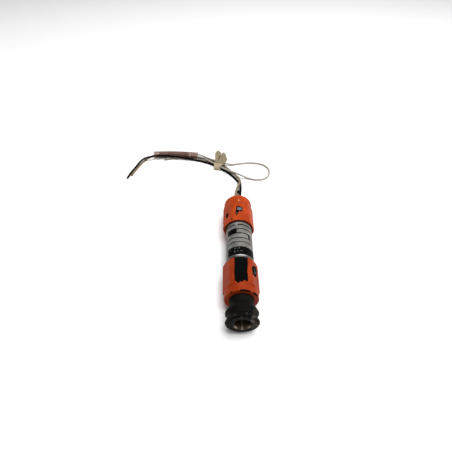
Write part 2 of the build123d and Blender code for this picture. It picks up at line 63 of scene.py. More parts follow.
# ---- places, from the frame ----
def middle(node, axis):
    """Middle of a CAD node along one axis, in metres."""
    low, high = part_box(node)
    return (low[axis] + high[axis]) / 2


def front_of(node):
    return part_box(node)[0][1]


def back_of(node):
    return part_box(node)[1][1]


AXIS_Z = middle("barrel_tube", 2)
NOSE_Y = front_of("bellows_boot")
FRONT_CAP_Y = front_of("front_cap")
FRONT_MOUTH_Y = back_of("front_cap")
REAR_MOUTH_Y = front_of("rear_cap")
REAR_Y = back_of("rear_cap")
GLAND_Y = back_of("rear_grommet")


def in_scene(name, data):
    """New object with this data, linked to the scene."""
    made = bpy.data.objects.new(name, data)
    bpy.context.scene.collection.objects.link(made)
    return made


def stand_in(piece, body, node):
    """Makes a piece move with a body and take the place of a CAD node."""
    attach(piece, body)
    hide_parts(node)
    return piece


def around(angle, radius, y):
    """Point on a circle about the probe's axis; angle 0 is up, + towards +X."""
    return Vector((radius * math.sin(angle), y, AXIS_Z + radius * math.cos(angle)))


# ---- shader trees ----
class Shader:
    """Short names for the nodes that the materials below are made of."""

    def __init__(self, name):
        self.material = bpy.data.materials.new(name)
        self.material.use_nodes = True
        self.tree = self.material.node_tree
        self.surface = self.tree.nodes["Principled BSDF"]
        self.place = self.node("ShaderNodeTexCoord").outputs["Object"]

    def node(self, kind, inputs=None, **settings):
        """New node with these settings, and its inputs set or linked."""
        made = self.tree.nodes.new(kind)
        for key, value in settings.items():
            setattr(made, key, value)
        for key, value in (inputs or {}).items():
            self.join(value, made.inputs[key])
        return made

    def join(self, value, socket):
        """Sets a socket from a number, a vector, an opaque colour or a node's output."""
        if isinstance(value, bpy.types.NodeSocket):
            self.tree.links.new(value, socket)
        elif isinstance(value, tuple):
            socket.default_value = (*value, 1)[:len(socket.default_value)]
        else:
            socket.default_value = value

    def set(self, **values):
        """Sets the surface's sockets: base_color becomes Base Color."""
        for key, value in values.items():
            label = key.replace("_", " ").title().replace("Ior", "IOR")
            self.join(value, self.surface.inputs[label])

    def math(self, operation, a, b=0.0, clamp=False):
        made = self.node("ShaderNodeMath", {0: a, 1: b}, operation=operation, use_clamp=clamp)
        return made.outputs[0]

    def times(self, a, b, clamp=False):
        return self.math("MULTIPLY", a, b, clamp)

    def plus(self, a, b, clamp=False):
        return self.math("ADD", a, b, clamp)

    def minus(self, a, b, clamp=False):
        return self.math("SUBTRACT", a, b, clamp)

    def larger(self, first, *others):
        for other in others:
            first = self.math("MAXIMUM", first, other)
        return first

    def mix(self, factor, a, b):
        inputs = {"Factor": factor, "A": a, "B": b}
        return self.node("ShaderNodeMix", inputs, data_type="RGBA").outputs["Result"]

    def step(self, value, low, high):
        """0 below low and 1 above high, or the other way round when low is the larger."""
        turned = low > high
        inputs = {
            "Value": value, "From Min": min(low, high), "From Max": max(low, high),
            "To Min": float(turned), "To Max": float(not turned),
        }
        made = self.node("ShaderNodeMapRange", inputs, interpolation_type="SMOOTHSTEP")
        return made.outputs["Result"]

    def span(self, value, low, high, soft):
        """1 between low and high, fading over soft at each end."""
        up = self.step(value, low - soft, low + soft)
        down = self.step(value, high + soft, high - soft)
        return self.times(up, down)

    def noise(self, scale, detail=4.0, stretch=(1, 1, 1)):
        """Noise with features about 1 / scale metres across; stretch scales each axis."""
        mapping = self.node("ShaderNodeMapping", {"Scale": stretch, "Vector": self.place})
        inputs = {
            "Vector": mapping.outputs["Vector"], "Scale": scale, "Detail": detail, "Roughness": 0.55,
        }
        return self.node("ShaderNodeTexNoise", inputs).outputs["Fac"]

    def blots(self, scale, low, high, detail=4.0, stretch=(1, 1, 1)):
        """Noise sharpened into patches: 0 where it is below low, 1 where it is above high."""
        return self.step(self.noise(scale, detail, stretch), low, high)

    def spot(self, centre, radius, soft):
        """1 within radius of a point (metres, row frame), fading over soft."""
        inputs = {0: self.place, 1: centre}
        far = self.node("ShaderNodeVectorMath", inputs, operation="DISTANCE")
        return self.step(far.outputs["Value"], radius + soft, radius - soft)

    def attribute(self, name):
        return self.node("ShaderNodeAttribute", attribute_name=name).outputs["Fac"]

    def position(self):
        """(x, y, z) outputs, in metres in the row frame."""
        parts = self.node("ShaderNodeSeparateXYZ", {"Vector": self.place})
        return [parts.outputs[axis] for axis in "XYZ"]

    def angle(self):
        """Angle about the probe's axis in degrees, 0 at the top and + towards +X."""
        x, _, z = self.position()
        turn = self.math("ARCTAN2", x, self.minus(z, AXIS_Z))
        return self.times(turn, 180 / math.pi)

    def radius(self):
        """Distance from the probe's axis, in metres."""
        x, _, z = self.position()
        up = self.minus(z, AXIS_Z)
        return self.math("SQRT", self.plus(self.times(x, x), self.times(up, up)))

    def bump(self, height, distance, strength):
        inputs = {"Height": height, "Distance": distance, "Strength": strength}
        made = self.node("ShaderNodeBump", inputs)
        normal = self.surface.inputs["Normal"]
        if normal.is_linked:
            self.join(normal.links[0].from_socket, made.inputs["Normal"])
        self.join(made.outputs["Normal"], normal)


# ---- materials ----
def orange_paint():
    """Orange enamel on metal; the chips, a painted highlight on the bare metal in some chips, and painted
    shade with dirt in the bores and mouth rims all come from the caps' own vertex masks.
    """
    s = Shader("orange_paint")
    bare = s.step(s.attribute("bare"), 0.40, 0.60)
    # painted highlight: mask of the bare metal in the chips that is painted pale grey
    light = s.attribute("bare_light")
    scuff = s.attribute("scuff")
    grime = s.attribute("grime")
    cloud = s.noise(90, 5)
    fine = s.noise(900, 3)
    paint = s.mix(s.step(cloud, 0.35, 0.68), (0.31, 0.033, 0.005), (0.42, 0.052, 0.008))
    paint = s.mix(s.times(s.step(fine, 0.62, 0.75), 0.16), paint, (0.50, 0.15, 0.08))
    _, y, _ = s.position()
    # painted shade: the whole front cap, below y = 0, is painted up to 35% darker
    paint = s.mix(s.times(s.step(y, 0.0, -0.01), 0.35), paint, (0.15, 0.014, 0.002))
    streak = s.blots(520, 0.46, 0.62, stretch=(1, 0.35, 1))
    paint = s.mix(s.times(s.times(scuff, streak), 0.8), paint, (0.52, 0.24, 0.16))
    # painted shade with dirt: the caps' bores and mouth rims are painted near black, in patches
    dirt = s.times(grime, s.blots(420, 0.25, 0.7))
    paint = s.mix(dirt, paint, (0.02, 0.006, 0.004))
    metal = s.mix(s.blots(1100, 0.45, 0.7), (0.0016, 0.0016, 0.0017), (0.0045, 0.0048, 0.005))
    # painted highlight colour: pale grey in patches on the bare metal in the chips
    chip_highlight_colour = s.mix(s.blots(1300, 0.42, 0.62), (0.020, 0.026, 0.034), (0.24, 0.27, 0.28))
    metal = s.mix(light, metal, chip_highlight_colour)
    s.set(base_color=s.mix(bare, paint, metal))
    rough = s.plus(0.42, s.times(cloud, 0.16))
    rough = s.plus(rough, s.times(scuff, 0.1))
    rough = s.plus(rough, s.times(bare, 0.35), clamp=True)
    s.set(roughness=rough)
    s.set(specular_ior_level=s.minus(0.07, s.times(bare, 0.04)))
    s.bump(s.noise(260, 3), 0.00012, 0.5)
    s.bump(fine, 0.00004, 0.5)
    return s.material


def turned_metal(name, dark, bright, roughness, lines=4200):
    """Satin turned metal with fine rings round the axis and smudges."""
    s = Shader(name)
    rings = s.noise(lines, 2, stretch=(0.02, 1, 0.02))
    smudge = s.noise(160, 5)
    colour = s.mix(s.step(smudge, 0.3, 0.7), dark, bright)
    colour = s.mix(s.times(s.step(rings, 0.45, 0.7), 0.35), colour, bright)
    s.set(base_color=colour, metallic=1.0)
    s.set(roughness=s.plus(roughness - 0.08, s.times(smudge, 0.22)))
    s.bump(rings, 0.00003, 0.6)
    return s.material


# Cross lines as (y, half width) in mm, and rows of marks as (y, [(degrees, half width), ...]).
PLATE_LINES = [(27.7, 0.75), (22.05, 0.62), (16.15, 0.6), (10.05, 0.55), (4.7, 0.52)]
PLATE_MARKS = [
    (-3.2, [(-43.6, 2.6), (-21, 4.2), (-11, 2.6), (-3, 2.4), (14.5, 2.8)]),
    (-6.8, [(-23, 4.0), (-9.5, 3.4), (3, 3.2), (9.4, 1.6)]),
]
MARK_HALF = 0.7
PLATE_EDGE = 0.0001


def nameplate_print():
    """Printed foil: thick cross lines, a solid dark band and generic blocks; no lettering."""
    s = Shader("nameplate_foil")
    _, y, _ = s.position()
    y = s.plus(y, s.times(s.minus(s.noise(260, 2), 0.5), 0.00035))
    turn = s.angle()
    inputs = {"Vector": s.place, "Scale": 330, "Distortion": 1.6}
    hatch = s.node("ShaderNodeTexWave", inputs, wave_type="BANDS", bands_direction="DIAGONAL")
    foil = s.mix(s.blots(140, 0.3, 0.7, 5), (0.19, 0.18, 0.165), (0.32, 0.31, 0.29))
    hatching = s.times(s.step(hatch.outputs["Fac"], 0.45, 0.85), 0.7)
    foil = s.mix(hatching, foil, (0.055, 0.05, 0.045))
    strip = s.step(y, -0.0109, -0.0113)
    # painted highlight and shade: the plain strip near the front is painted bright along its top and dark
    # at its sides
    painted_top_highlight = s.mix(s.span(turn, -14, 20, 14), (0.07, 0.06, 0.05), (0.60, 0.60, 0.61))
    foil = s.mix(s.times(strip, 0.9), foil, painted_top_highlight)
    worn = s.blots(700, 0.66, 0.76)
    lines = [
        s.span(y, (line - half) * MM, (line + half) * MM, PLATE_EDGE) for line, half in PLATE_LINES
    ]
    # painted highlight: the top cross line is left out where the highlight spot lies
    painted_highlight_gap = s.times(s.span(turn, -17, -8, 1.5), s.step(y, 0.026, 0.0262))
    ink = s.minus(s.larger(*lines), painted_highlight_gap, clamp=True)
    band = s.span(y, -0.0107, -0.0011, 0.00012)
    block = s.times(s.span(y, 0.0161, 0.0222, PLATE_EDGE), s.span(turn, -70, -11.5, 0.8))
    bracket = s.times(s.span(y, 0.0112, 0.0161, PLATE_EDGE), s.span(turn, 39.5, 48, 0.8))
    bracket_foot = s.times(s.span(y, 0.0112, 0.0138, PLATE_EDGE), s.span(turn, 41, 54, 0.8))
    printed = s.step(turn, -59.0, -56.5)
    ink = s.times(s.larger(ink, band, block, bracket, bracket_foot), printed)
    marks = []
    for row_y, blocks in PLATE_MARKS:
        for where, half in blocks:
            row_span = s.span(y, (row_y - MARK_HALF) * MM, (row_y + MARK_HALF) * MM, 0.00025)
            marks.append(s.times(row_span, s.span(turn, where - half, where + half, 1.0)))
    patch_mask = s.blots(620, 0.42, 0.62, 3)
    marks = s.times(s.larger(*marks), s.times(patch_mask, 0.45))
    ink = s.times(ink, s.minus(1.0, s.times(worn, 0.18)))
    colour = s.mix(ink, foil, (0.0018, 0.0018, 0.002))
    colour = s.mix(marks, colour, (0.20, 0.22, 0.21))
    # painted highlight: a pale spot painted on the plate next to the top cross line
    pale_patch = s.spot((-0.0024, 0.0293, AXIS_Z + 0.0126), 0.0012, 0.0008)
    colour = s.mix(s.times(pale_patch, 0.5), colour, (0.42, 0.41, 0.39))
    colour = s.mix(printed, (0.075, 0.062, 0.051), colour)
    s.set(base_color=colour)
    s.set(metallic=s.times(s.minus(1.0, ink), 0.45))
    s.set(specular_ior_level=s.minus(0.3, s.times(ink, 0.27)))
    s.set(roughness=s.plus(0.40, s.times(s.noise(500), 0.2)))
    s.bump(ink, 0.00004, 0.7)
    s.bump(s.noise(1800, 2), 0.00002, 0.5)
    return s.material


# Pale specks on the lip: x, distance behind the nose, height above the axis and radius in
# mm, and strength.
LIP_SPECKS = [
    (3.0, 2.1, 12.5, 0.8, 0.32), (2.9, 0.7, 11.7, 0.6, 0.2), (-1.1, 0.2, 10.7, 0.6, 0.2),
    (-5.6, 1.8, 11.5, 0.9, 0.2),
]


def black_rubber():
    """Matt black moulded rubber with pale dust, thickest on the side towards +X."""
    s = Shader("boot_rubber")
    x, y, _ = s.position()
    grain = s.noise(1600, 3)
    turn = s.angle()
    lip = s.times(s.span(turn, 34, 122, 7), s.step(y, NOSE_Y + 0.0024, NOSE_Y + 0.0012))
    pale_patch = s.times(lip, s.blots(230, 0.42, 0.66))
    flank = s.times(s.step(x, 0.0065, 0.0125), s.step(y, NOSE_Y + 0.013, NOSE_Y + 0.010))
    flank = s.times(flank, s.blots(260, 0.42, 0.66, 5))
    dust = s.larger(s.times(pale_patch, 0.5), s.times(flank, 0.20))
    for across, behind, up, radius, strength in LIP_SPECKS:
        centre = (across * MM, NOSE_Y + behind * MM, AXIS_Z + up * MM)
        speck = s.times(s.spot(centre, radius * MM, 0.0005), strength)
        dust = s.larger(dust, speck)
    film = s.times(s.blots(60, 0.45, 0.8), 0.012)
    colour = s.mix(grain, (0.0014, 0.0012, 0.0010), (0.0040, 0.0034, 0.0030))
    colour = s.mix(s.plus(dust, film, clamp=True), colour, (0.22, 0.18, 0.145))
    s.set(base_color=colour, specular_ior_level=0.08)
    s.set(roughness=s.plus(0.55, s.times(s.noise(420), 0.25)))
    s.bump(grain, 0.00004, 0.6)
    s.bump(s.noise(260), 0.0001, 0.4)
    return s.material


def mouth_metal():
    """The ferrule: browned metal, with painted highlights low down on the mouth and along the bottom of
    the bore, and painted shade over its upper half.
    """
    s = Shader("nose_steel")
    _, y, _ = s.position()
    turn = s.angle()
    low = s.math("ABSOLUTE", turn)
    # painted highlight: pale crescents low down on the mouth's chamfer, brighter on the left
    rim = s.span(s.radius(), 0.0067, 0.0077, 0.0003)
    near = s.times(s.step(y, NOSE_Y + 0.004, NOSE_Y + 0.003), rim)
    left = s.times(s.span(low, 122, 142, 15), s.step(turn, 1, -1))
    right = s.times(s.times(s.span(low, 120, 140, 17), s.step(turn, -1, 1)), 0.6)
    patch_mask = s.times(s.larger(left, right), near)
    # painted highlight: a bright line along the bottom of the bore
    line = s.step(low, 172.5, 176)
    bright = s.larger(patch_mask, s.times(line, 0.6))
    bright = s.times(bright, s.plus(0.6, s.times(s.noise(900), 0.6)), clamp=True)
    brown = s.mix(s.blots(260, 0.35, 0.65, 5), (0.012, 0.008, 0.006), (0.05, 0.034, 0.025))
    # painted light and shade: the lower part is painted lighter brown and the upper half near black
    brown = s.mix(s.times(s.step(low, 128, 165), 0.5), brown, (0.09, 0.062, 0.045))
    upper = s.step(low, 124, 100)
    brown = s.mix(upper, brown, (0.004, 0.0035, 0.003))
    s.set(base_color=s.mix(bright, brown, (0.46, 0.36, 0.27)))
    s.set(metallic=s.times(bright, 0.5))
    s.set(specular_ior_level=s.plus(0.1, s.times(bright, 0.3)))
    s.set(roughness=s.minus(0.55, s.times(bright, 0.2)))
    s.bump(s.noise(4200, 2, stretch=(0.02, 1, 0.02)), 0.00003, 0.6)
    return s.material


def insulation(name, dark, light, roughness, specular):
    """Lead insulation, mottled with handling dirt."""
    s = Shader(name)
    blotch = s.noise(130, 5)
    colour = s.mix(s.step(blotch, 0.32, 0.66), dark, light)
    s.set(base_color=colour, specular_ior_level=specular)
    s.set(roughness=s.plus(roughness, s.times(s.noise(600), 0.2)))
    s.bump(s.noise(900, 2), 0.00005, 0.5)
    return s.material


def cotton():
    s = Shader("string_cotton")
    soil = s.blots(70, 0.42, 0.8)
    fibres = s.noise(5200, 2)
    colour = s.mix(soil, (0.39, 0.355, 0.31), (0.29, 0.26, 0.215))
    # painted shade: the grooves between the braid's strands are painted darker
    colour = s.mix(s.times(s.attribute("groove"), 0.5), colour, (0.16, 0.135, 0.105))
    s.set(base_color=colour, roughness=0.85, sheen_weight=0.15, specular_ior_level=0.15)
    s.bump(fibres, 0.00006, 0.7)
    return s.material


def paper_tape():
    s = Shader("paper_tape")
    crepe = s.noise(2400, 2, stretch=(1, 1, 0.35))
    stain = s.noise(190, 5)
    colour = s.mix(s.step(stain, 0.3, 0.72), (0.43, 0.355, 0.245), (0.33, 0.27, 0.18))
    colour = s.mix(s.times(s.step(crepe, 0.5, 0.75), 0.25), colour, (0.50, 0.44, 0.34))
    # painted shade: the crease in the left tail is painted dark brown
    colour = s.mix(s.times(s.attribute("crease"), 0.9, clamp=True), colour, (0.06, 0.045, 0.022))
    s.set(base_color=colour, roughness=0.78, specular_ior_level=0.15)
    s.bump(crepe, 0.00008, 0.7)
    return s.material


def sleeve_film():
    s = Shader("sleeve_film")
    cloud = s.noise(160, 5)
    colour = s.mix(s.step(cloud, 0.35, 0.7), (0.34, 0.19, 0.15), (0.20, 0.095, 0.075))
    s.set(base_color=colour, roughness=0.34, specular_ior_level=0.35)
    x, _, _ = s.position()
    clear_end = s.larger(s.step(x, -0.067, -0.0635), s.step(x, -0.105, -0.1085))
    dull = s.plus(s.times(clear_end, 0.18), s.times(cloud, 0.12))
    s.set(alpha=s.plus(0.21, dull))
    s.bump(s.noise(420, 3), 0.00018, 0.7)
    return s.material


def sleeve_label():
    """Rolled insert in the sleeve, browned and mottled, with generic pale flecks."""
    s = Shader("sleeve_label")
    blot = s.noise(330, 6, stretch=(0.6, 1, 1))
    colour = s.mix(s.step(blot, 0.38, 0.62), (0.020, 0.008, 0.006), (0.065, 0.028, 0.022))
    fleck = s.blots(620, 0.60, 0.68, 3, stretch=(0.5, 1, 1))
    colour = s.mix(s.times(fleck, 0.6), colour, (0.30, 0.19, 0.155))
    s.set(base_color=colour, roughness=0.7, specular_ior_level=0.2)
    s.bump(blot, 0.0001, 0.5)
    return s.material


def moulded(name, colour, roughness):
    s = Shader(name)
    tint = tuple(min(1, c * 1.35 + 0.004) for c in colour)
    s.set(base_color=s.mix(s.blots(500, 0.35, 0.7), colour, tint))
    s.set(roughness=s.plus(roughness, s.times(s.noise(900), 0.15)))
    s.bump(s.noise(1500, 2), 0.00004, 0.5)
    return s.material


def board_green():
    s = Shader("board_laminate")
    x, _, _ = s.position()
    tracks = s.times(s.step(s.math("SINE", s.times(x, 2600)), 0.55, 0.8), 0.5)
    s.set(base_color=s.mix(tracks, (0.03, 0.12, 0.045), (0.10, 0.26, 0.10)), roughness=0.4)
    s.bump(tracks, 0.00005, 0.5)
    return s.material


def floor_material():
    s = Shader("floor")
    s.set(base_color=(0.93, 0.93, 0.93), roughness=0.9, specular_ior_level=0.1)
    return s.material


# Dark and bright colour, roughness and, for the wire, finer rings.
METALS = {
    "tube_metal": ((0.075, 0.065, 0.056), (0.16, 0.145, 0.13), 0.45),
    "plain_steel": ((0.34, 0.34, 0.34), (0.55, 0.55, 0.55), 0.35),
    "spring_steel": ((0.20, 0.20, 0.21), (0.45, 0.45, 0.46), 0.3),
    "bronze": ((0.42, 0.26, 0.10), (0.62, 0.42, 0.20), 0.35),
    "brass_pins": ((0.55, 0.42, 0.16), (0.78, 0.62, 0.30), 0.3),
    "copper_wire": ((0.40, 0.13, 0.05), (0.70, 0.30, 0.14), 0.3, 9000),
}
# Colour and roughness.
MOULDED = {
    "ferrite": ((0.02, 0.02, 0.022), 0.6),
    "moulding": ((0.02, 0.02, 0.022), 0.5),
    "seal_rubber": ((0.012, 0.012, 0.012), 0.6),
    "component_black": ((0.012, 0.012, 0.013), 0.35),
    "component_blue": ((0.03, 0.07, 0.25), 0.3),
    "resistor_tan": ((0.45, 0.32, 0.18), 0.45),
}
# Dark and light colour, roughness and specular level.
INSULATION = {
    "black_insulation": ((0.0012, 0.0012, 0.0012), (0.0035, 0.0032, 0.003), 0.6, 0.04),
    "tan_insulation": ((0.25, 0.195, 0.13), (0.17, 0.125, 0.075), 0.5, 0.2),
    "grey_insulation": ((0.24, 0.21, 0.17), (0.17, 0.145, 0.11), 0.5, 0.2),
}


def paint_materials():
    """One material for each of the record's slots, with the sleeve's insert and the floor."""
    made = {name: turned_metal(name, *values) for name, values in METALS.items()}
    made.update({name: moulded(name, *values) for name, values in MOULDED.items()})
    made.update({name: insulation(name, *values) for name, values in INSULATION.items()})
    made["orange_paint"] = orange_paint()
    made["nameplate_foil"] = nameplate_print()
    made["boot_rubber"] = black_rubber()
    made["nose_steel"] = mouth_metal()
    made["board_laminate"] = board_green()
    made["string_cotton"] = cotton()
    made["sleeve_film"] = sleeve_film()
    made["sleeve_label"] = sleeve_label()
    made["paper_tape"] = paper_tape()
    made["floor"] = floor_material()
    return made


materials = paint_materials()
SLOTS = {row["node"]: row["material_slot"] for row in frame["record"]["subparts"]}


def finish_cad_nodes():
    """Gives every CAD node the material of its slot."""
    for node, slot in SLOTS.items():
        nodes[node].data.materials.clear()
        nodes[node].data.materials.append(materials[slot])


# ---- mesh helpers ----
def mesh_piece(name, points, faces, material):
    data = bpy.data.meshes.new(name)
    data.from_pydata([tuple(p) for p in points], [], faces)
    data.materials.append(materials[material])
    data.validate()
    for polygon in data.polygons:
        polygon.use_smooth = True
    return in_scene(name, data)


def add_mask(piece, name, values):
    layer = piece.data.attributes.new(name, "FLOAT", "POINT")
    layer.data.foreach_set("value", values)


def grid_faces(rows, columns, close_rows, close_columns):
    """Quads of a grid whose points are listed row by row."""
    faces = []
    for i in range(rows if close_rows else rows - 1):
        for j in range(columns if close_columns else columns - 1):
            a, b = i * columns, ((i + 1) % rows) * columns
            k = (j + 1) % columns
            faces.append((a + j, b + j, b + k, a + k))
    return faces


def eased(corners, steps):
    """Closed outline from (y, radius, rounding) corners, in millimetres, each rounded off."""
    outline = []
    count = len(corners)
    for i, (y, r, rounding) in enumerate(corners):
        here = Vector((y, r))
        if rounding <= 0:
            outline.append(here)
            continue
        before = Vector(corners[i - 1][:2])
        after = Vector(corners[(i + 1) % count][:2])
        start = here + (before - here).normalized() * rounding
        end = here + (after - here).normalized() * rounding
        for k in range(steps + 1):
            t = k / steps
            outline.append(start.lerp(here, t).lerp(here.lerp(end, t), t))
    return outline


def split_long(outline, longest):
    """Adds points so that no stretch of a closed outline is longer than this."""
    fine = []
    for here, after in zip(outline, outline[1:] + outline[:1]):
        pieces = max(1, math.ceil((after - here).length / longest))
        fine.extend(here.lerp(after, k / pieces) for k in range(pieces))
    return fine


def lathe(name, outline, material, segments, shift=None):
    """Solid turned about the probe's axis from a closed (y, radius) outline in mm."""
    points = []
    for y, r in outline:
        for j in range(segments):
            angle = 2 * math.pi * j / segments
            dy, dr = shift(y, r, angle) if shift else (0, 0)
            points.append(around(angle, (r + dr) * MM, (y + dy) * MM))
    return mesh_piece(name, points, grid_faces(len(outline), segments, True, True), material)


# ---- caps ----
HEX_FLAT = 14.65
HEX_CORNER = 15.7
HEX_END = 14.8
HEX_BEVEL = 1.2
COLLAR = 14.6
MOUTH_EDGE = 14.5
MOUTH_RIM = 13.7
CAP_BORE = 12.8
PAINTED_FROM = 13
CHIP_DEPTH = 0.09
CAP_SWELL = 0.03
CHIP_FADE = 0.22
CAP_SEGMENTS = 480
CAP_STEP = 0.27


def soft_min(a, b, blend):
    """Smaller of two lengths, with the corner between them rounded."""
    h = max(0.0, min(1.0, 0.5 + 0.5 * (b - a) / blend))
    return b + (a - b) * h - blend * h * (1 - h)


def distance_to_outline(point, outline):
    """Signed distance from a closed outline; negative inside."""
    inside = False
    nearest = 1e9
    for a, b in zip(outline, outline[1:] + outline[:1]):
        edge, to_point = b - a, point - a
        t = max(0.0, min(1.0, to_point.dot(edge) / edge.length_squared))
        nearest = min(nearest, (to_point - edge * t).length)
        if (a.y > point.y) != (b.y > point.y):
            if point.x < a.x + (point.y - a.y) / (b.y - a.y) * (b.x - a.x):
                inside = not inside
    return -nearest if inside else nearest


def chip(corners, ragged=0.35, wave=1.1):
    """Mask of a paint chip, from (degrees, y mm) corners: 1 inside, 0 outside."""
    outline = [Vector((math.radians(a) * HEX_FLAT, y)) for a, y in corners]
    low = Vector((min(p.x for p in outline), min(p.y for p in outline)))
    high = Vector((max(p.x for p in outline), max(p.y for p in outline)))

    def mask(angle, y):
        place = Vector((math.radians(angle) * HEX_FLAT, y))
        if not (low.x - 1 < place.x < high.x + 1 and low.y - 1 < place.y < high.y + 1):
            return 0.0
        far = distance_to_outline(place, outline)
        far += ragged * noise.noise(Vector((place.x * wave, place.y * wave, 3.1)))
        far += 0.4 * ragged * noise.noise(Vector((place.x * 3.2, place.y * 3.2, 8.4)))
        return max(0.0, min(1.0, 0.5 - far / CHIP_FADE))

    return mask


FRONT_CHIPS = [
    chip([(-20.5, -15), (-21.5, -25), (-22.5, -30), (-21.8, -41), (-17, -42.2), (-13, -43.4),
          (-8.5, -43.8), (-5, -41.9), (2, -42.3), (9, -40.9), (13, -41.2), (15, -42.4), (19, -41.8),
          (20.5, -38), (19.2, -30), (22.3, -24), (23.5, -15)]),
    chip([(36.5, -24.9), (49.5, -21.4), (66, -20), (71, -22), (70, -27), (62.4, -31.7), (52, -33.4),
          (38.5, -33), (35.7, -28.2)]),
    chip([(68.5, -31), (71.5, -31), (72.5, -40), (70.5, -40)], 0.2),
    chip([(-40, -50.2), (-34, -49.7), (-33, -50.9), (-39, -51.4)], 0.2),
    chip([(-6, -49.9), (4, -49.6), (27, -49.7), (28, -51.2), (6, -51.3), (-7, -51.2)], 0.25),
    chip([(40, -49.8), (62, -49.6), (66, -51), (42, -51.4)], 0.3),
]
# Painted highlights on the bare metal inside the front cap's chips.
FRONT_CHIP_HIGHLIGHTS = [chip([(54, -24.5), (58, -24), (58, -29), (55, -29.5)], 0.6, 0.8)]
REAR_CHIPS = [
    chip([(-9, 52.4), (4, 53.2), (17.8, 51.6), (16.6, 46.3), (8, 45.2), (1.2, 45.2), (-3.6, 41.2),
          (-9.8, 37.6), (-12.8, 42.5), (-10.5, 47)], 0.35),
    chip([(-61, 44.5), (-57.3, 48.4), (-43.2, 46.8), (-43.6, 44), (-47.9, 41.2), (-56, 41.8)], 0.3),
    chip([(-29.5, 33.2), (-24, 33.4), (-25, 36.2), (-29, 35.4)], 0.3),
]
# Painted highlights on the bare metal inside the rear cap's chips.
REAR_CHIP_HIGHLIGHTS = [
    chip([(-6, 51), (14.5, 50.8), (13.5, 48), (3, 46.8), (-5, 47.5)], 0.9, 0.9),
    chip([(-9.5, 42.8), (-6.4, 42.6), (-8.4, 40)], 0.4, 0.9),
]
REAR_SCUFFS = [
    chip([(-1, 61), (7, 61), (8, 65), (0, 65.5)], 1.2, 0.7),
    chip([(13, 56), (20, 55.6), (22, 59), (15, 59.5)], 1.2, 0.7),
    chip([(41, 57), (47, 57), (48, 62), (43, 62.5)], 1.0, 0.7),
]


def strongest(masks, angle, y):
    return max((mask(angle, y) for mask in masks), default=0.0)


def cap(name, node, mouth, end, hex_length, turn, end_corners, chips, lights, scuffs):
    """Hexagon cap with a round collar. mouth and end are its y limits in millimetres, and
    end_corners its outline from the collar's end face inwards to the mouth, as distances
    from the mouth with a radius and a rounding."""
    forward = 1 if end > mouth else -1
    length = abs(end - mouth)

    def outer_radius(u, flat):
        if u > hex_length:
            return COLLAR
        bevel = (HEX_CORNER + 0.15 - HEX_END) / HEX_BEVEL
        edge = HEX_END + bevel * min(u, hex_length - u)
        section = soft_min(HEX_FLAT / math.cos(flat), HEX_CORNER, 0.22)
        return max(COLLAR, soft_min(section, edge, 0.3))

    side_length = length - end_corners[0][2]
    count = round(side_length / CAP_STEP)
    stations = [(i * side_length / count, None) for i in range(count + 1)]
    corner = eased([(length - 5, COLLAR, 0)] + end_corners + [(0, MOUTH_EDGE, 0)], 5)
    for u, r in split_long(corner, 1.5):
        if u > side_length + 1e-6 or r < COLLAR - 0.02:
            stations.append((u, r))
        if u < 0.001 and r == MOUTH_EDGE:
            break
    points, bare, light, scuff, grime = [], [], [], [], []
    sixth = math.pi / 3
    for u, r in stations:
        y = mouth + forward * u
        for j in range(CAP_SEGMENTS):
            angle = 2 * math.pi * j / CAP_SEGMENTS
            degrees = (math.degrees(angle) + 180) % 360 - 180
            flat = (angle - math.radians(turn) + sixth / 2) % sixth - sixth / 2
            radius = outer_radius(u, flat) if r is None else r
            outside = radius > PAINTED_FROM
            worn = strongest(chips, degrees, y) if outside else 0.0
            bare.append(worn)
            # painted highlight mask, only inside chips
            light.append(strongest(lights, degrees, y) if worn > 0 else 0.0)
            scuff.append(strongest(scuffs, degrees, y) if worn == 0 and outside else 0.0)
            # painted shade with dirt: the bores and the rim next to the tube
            hidden = radius < CAP_BORE + 0.1 and u < length - 0.3
            grime.append(0.9 if r is not None and (u < 2 or hidden) else 0.0)
            around_axis = Vector((math.sin(angle), math.cos(angle), 0)) * 1.4
            swell = CAP_SWELL * noise.noise(around_axis + Vector((0, 0, y * 0.16)))
            radius += swell * outside - CHIP_DEPTH * worn
            points.append(around(angle, radius * MM, y * MM))
    piece = mesh_piece(
        name, points, grid_faces(len(stations), CAP_SEGMENTS, True, True), "orange_paint"
    )
    masks = {"bare": bare, "bare_light": light, "scuff": scuff, "grime": grime}
    for mask_name, values in masks.items():
        add_mask(piece, mask_name, values)
    if forward < 0:
        piece.data.flip_normals()
    stand_in(piece, HOUSING, node)


def make_caps():
    front_length = (FRONT_MOUTH_Y - FRONT_CAP_Y) / MM
    nose_hole = 10.3
    inner_face = front_length - 3.5
    front_ends = [
        (front_length, COLLAR, 0.7), (front_length, nose_hole, 0.4), (inner_face, nose_hole, 0),
        (inner_face, CAP_BORE, 0), (1.0, CAP_BORE, 0.2), (0, MOUTH_RIM, 0.15),
    ]
    cap("front_cap_painted", "front_cap", FRONT_MOUTH_Y / MM, FRONT_CAP_Y / MM, 28.6, 0,
        front_ends, FRONT_CHIPS, FRONT_CHIP_HIGHLIGHTS, [])
    rear_length = (REAR_Y - REAR_MOUTH_Y) / MM
    recess, lead_hole, pocket = 9.0, 4.5, 11.5
    recess_floor, inner_face, shoulder = rear_length - 2.5, rear_length - 6.0, 19.9
    rear_ends = [
        (rear_length, COLLAR, 2.8), (rear_length, recess, 0.5), (recess_floor, recess, 0.2),
        (recess_floor, lead_hole, 0.2), (inner_face, lead_hole, 0), (inner_face, pocket, 0),
        (shoulder, pocket, 0), (shoulder, CAP_BORE, 0), (1.0, CAP_BORE, 0.2), (0, MOUTH_RIM, 0.15),
    ]
    cap("rear_cap_painted", "rear_cap", REAR_MOUTH_Y / MM, REAR_Y / MM, 31.0, 8.9,
        rear_ends, REAR_CHIPS, REAR_CHIP_HIGHLIGHTS, REAR_SCUFFS)


